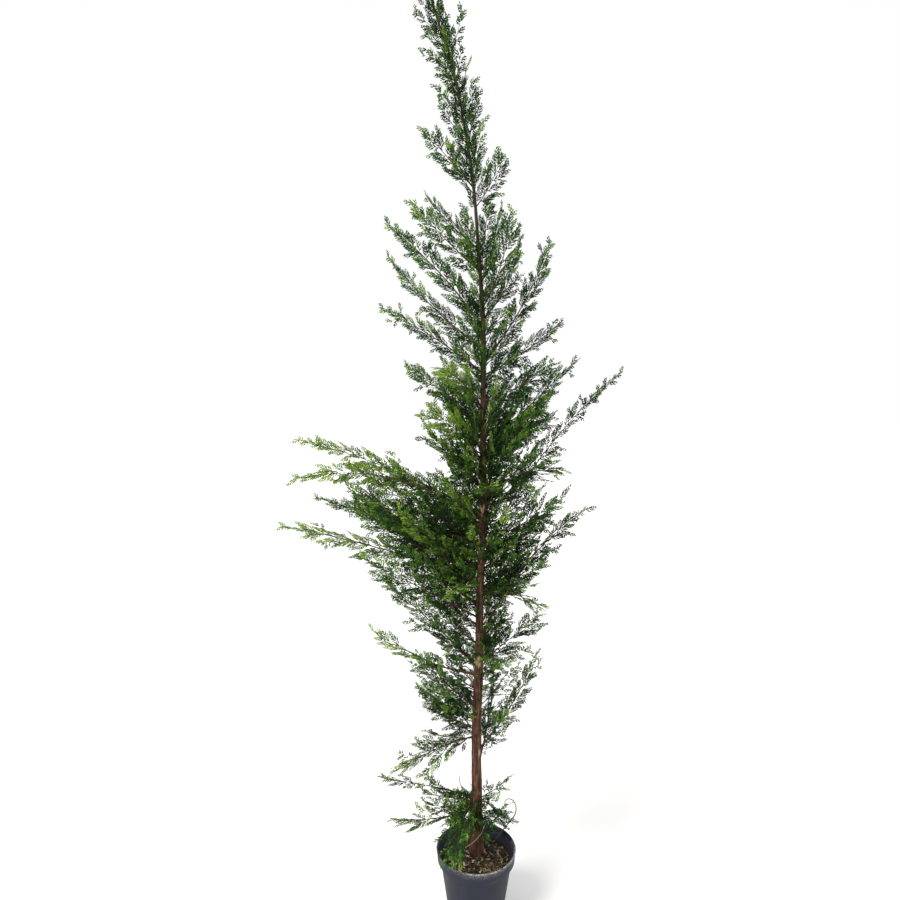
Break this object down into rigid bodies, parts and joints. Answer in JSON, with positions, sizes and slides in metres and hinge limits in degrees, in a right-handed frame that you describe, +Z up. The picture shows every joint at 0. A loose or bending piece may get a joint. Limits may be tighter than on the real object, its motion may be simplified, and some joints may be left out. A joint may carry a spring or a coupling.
{
  "type": "potted cypress tree",
  "caption": "Tall slender young cypress with a leaning leader, long open side boughs and feathery flat sprays, in a black nursery pot.",
  "frame": {"origin": "centre of the pot's flat underside, on the ground", "axes": "+Z up along the leader, -X towards the side with the longest boughs and the leader's lean, -Y towards the front"},
  "size_m": [0.852, 0.5167, 2.3696],
  "materials": {
    "pot": "dull dusty black nursery plastic",
    "compost": "damp dark potting compost with bark chips",
    "bark": "thin stringy red-brown bark",
    "foliage": "waxy scale-leaved green sprays"
  },
  "bodies": {
    "root": {"pot": "pot", "soil": "compost", "trunk": "bark", "bough_foot_bare": "bark", "bough_level_left": "bark", "bough_curved_right": "bark", "bough_long_left": "bark", "bough_nodding_left": "bark", "bough_arching_left": "bark", "bough_long_right": "bark", "foliage_foot_left": "foliage", "foliage_foot_bare": "foliage", "foliage_foot_front": "foliage", "foliage_foot_right": "foliage", "foliage_low_left": "foliage", "foliage_low_right": "foliage", "foliage_low_upright": "foliage", "foliage_low_back": "foliage", "foliage_low_steep": "foliage", "foliage_back_low": "foliage", "foliage_level_left": "foliage", "foliage_low_front": "foliage", "foliage_lower_right": "foliage", "foliage_lower_left": "foliage", "foliage_lower_back": "foliage", "foliage_dark_left": "foliage", "foliage_curved_right": "foliage", "foliage_front_left": "foliage", "foliage_droop_right": "foliage", "foliage_long_left": "foliage", "foliage_tufted_left": "foliage", "foliage_nodding_left": "foliage", "foliage_arching_left": "foliage", "foliage_mid_back": "foliage", "foliage_leafy_right": "foliage", "foliage_long_right": "foliage", "foliage_mid_front": "foliage", "foliage_thick_right": "foliage", "foliage_forked_right": "foliage", "foliage_dark_tuft": "foliage", "foliage_back_mid": "foliage", "foliage_bright_left": "foliage", "foliage_upper_right": "foliage", "foliage_dark_right": "foliage", "foliage_pointed_left": "foliage", "foliage_bright_plume": "foliage", "foliage_open_left": "foliage", "foliage_feather_right": "foliage", "foliage_slender_left": "foliage", "foliage_slender_right": "foliage", "foliage_high_left": "foliage", "foliage_high_back": "foliage", "foliage_high_right": "foliage", "foliage_high_front": "foliage", "foliage_crest_left": "foliage", "foliage_crest_back": "foliage", "foliage_top_left": "foliage", "foliage_top_right": "foliage", "foliage_leader_neck": "foliage", "foliage_leader_tip": "foliage"}
  },
  "joints": []
}
